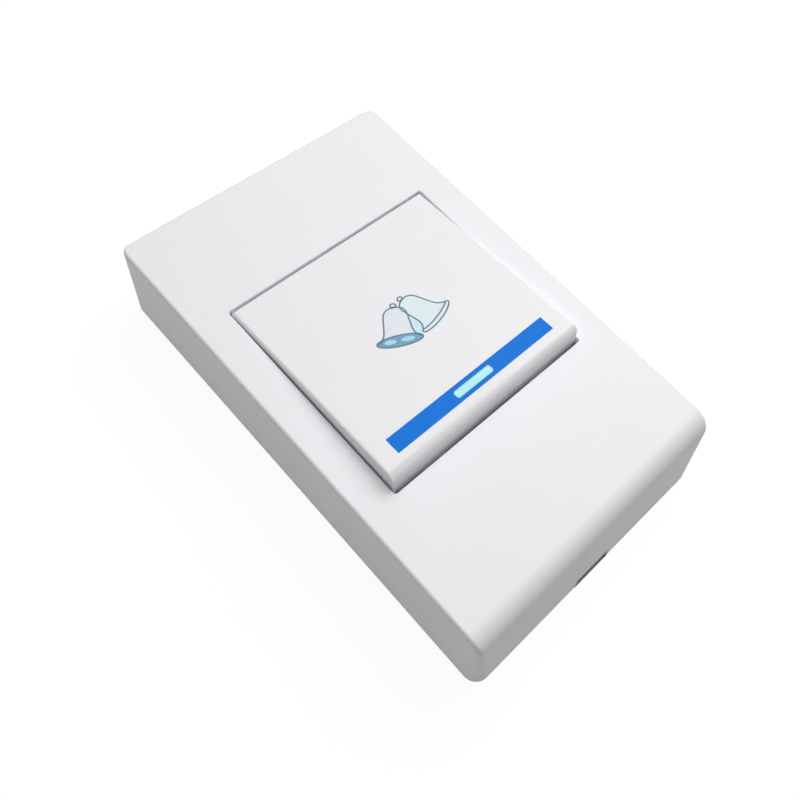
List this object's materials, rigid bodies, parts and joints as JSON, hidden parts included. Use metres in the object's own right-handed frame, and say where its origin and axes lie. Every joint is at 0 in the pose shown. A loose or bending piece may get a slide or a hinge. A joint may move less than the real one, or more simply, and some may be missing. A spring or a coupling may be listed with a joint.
{
  "type": "wireless doorbell push unit",
  "caption": "White rectangular wall-mounted doorbell transmitter with a rocking square push button, a light window, a clip-on front case and a screw-on back cover.",
  "frame": {"origin": "middle of the case's outline on its back, where it meets the wall", "axes": "+Z out of the wall through the button, +Y to the upper end where the button pivots, +X to the right seen from the front"},
  "size_m": [0.055, 0.09, 0.0208],
  "materials": {
    "case_white": "glossy moulded white",
    "cover_white": "fine spark-textured white",
    "button_white": "glossy moulded white with printed stripe and bells",
    "light_cyan": "clear pale cyan light guide",
    "board_green": "green solder mask",
    "screw_steel": "zinc plated",
    "switch_black": "moulded black",
    "switch_steel": "stamped sheet",
    "stem_black": "moulded black",
    "tinned_leads": "tinned",
    "lamp_lens": "clear blue-tinted lens",
    "chip_black": "moulded black",
    "can_steel": "nickel-plated can",
    "resistor_black": "black glaze with tinned ends",
    "capacitor_tan": "tan ceramic body with tinned ends",
    "battery_gold": "gold and black sleeve without print",
    "terminal_steel": "nickel plated",
    "spring_steel": "nickel-plated wire",
    "contact_steel": "nickel-plated sheet"
  },
  "bodies": {
    "back": {"back_cover": "cover_white"},
    "front": {"front_case": "case_white", "circuit_board": "board_green", "board_screws": "screw_steel", "switch_base": "switch_black", "switch_cover": "switch_steel", "switch_legs": "tinned_leads", "led_lens": "lamp_lens", "led_leads": "tinned_leads", "encoder_chip": "chip_black", "encoder_legs": "tinned_leads", "transistor_body": "chip_black", "transistor_legs": "tinned_leads", "saw_resonator": "can_steel", "resistors": "resistor_black", "capacitors": "capacitor_tan", "battery_body": "battery_gold", "battery_terminal": "terminal_steel", "negative_spring": "spring_steel", "negative_contact": "contact_steel", "positive_contact": "contact_steel"},
    "button": {"push_button": "button_white", "indicator_window": "light_cyan"},
    "stem": {"switch_stem": "stem_black"}
  },
  "joints": [
    {"name": "case_release", "type": "slide", "parent": "back", "child": "front", "axis": [0, 0, 1], "range_m": [0, 0.03]},
    {"name": "button_rock", "type": "hinge", "parent": "front", "child": "button", "pos_m": [0, 0.02115, 0.0139], "axis": [1, 0, 0], "range_deg": [0, 1.2], "stiffness_Nm_per_rad": 0.3, "springref_deg": -5.73},
    {"name": "stem_push", "type": "slide", "parent": "front", "child": "stem", "axis": [0, 0, -1], "range_m": [0, 0.0004]}
  ],
  "couplings": [
    {"joint": "stem_push", "follows": "button_rock", "m_per_rad": 0.0185}
  ]
}
